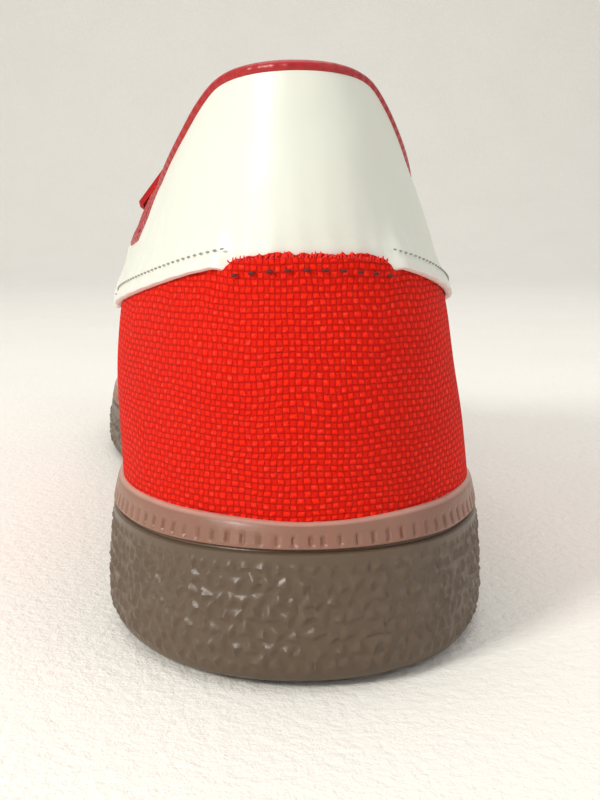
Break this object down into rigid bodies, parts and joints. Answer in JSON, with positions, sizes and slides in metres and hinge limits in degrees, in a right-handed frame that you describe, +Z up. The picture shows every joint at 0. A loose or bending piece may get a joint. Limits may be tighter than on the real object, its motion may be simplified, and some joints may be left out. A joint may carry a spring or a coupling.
{
  "type": "low court sneaker",
  "caption": "Low court sneaker for a right foot: red canvas upper, white leather heel tab, tongue, flat laces and a moulded gum rubber cup sole.",
  "frame": {"origin": "on the ground, at the middle of the shoe's bounding box", "axes": "+Y from the heel to the toe, +Z up, -X the inner (big toe) side of a right shoe"},
  "size_m": [0.0992, 0.28, 0.1007],
  "materials": {
    "gum": "moulded, satin, pebbled side",
    "canvas": "coarse plain weave",
    "leather": "smooth, soft sheen",
    "lining": "brushed knit",
    "lace": "flat woven tape"
  },
  "bodies": {
    "root": {"outsole": "gum", "upper": "canvas", "heel_counter": "canvas", "heel_tab": "leather", "eyestay": "canvas", "toe_cap": "canvas", "tongue": "lining", "insole": "lining", "laces": "lace"}
  },
  "joints": []
}
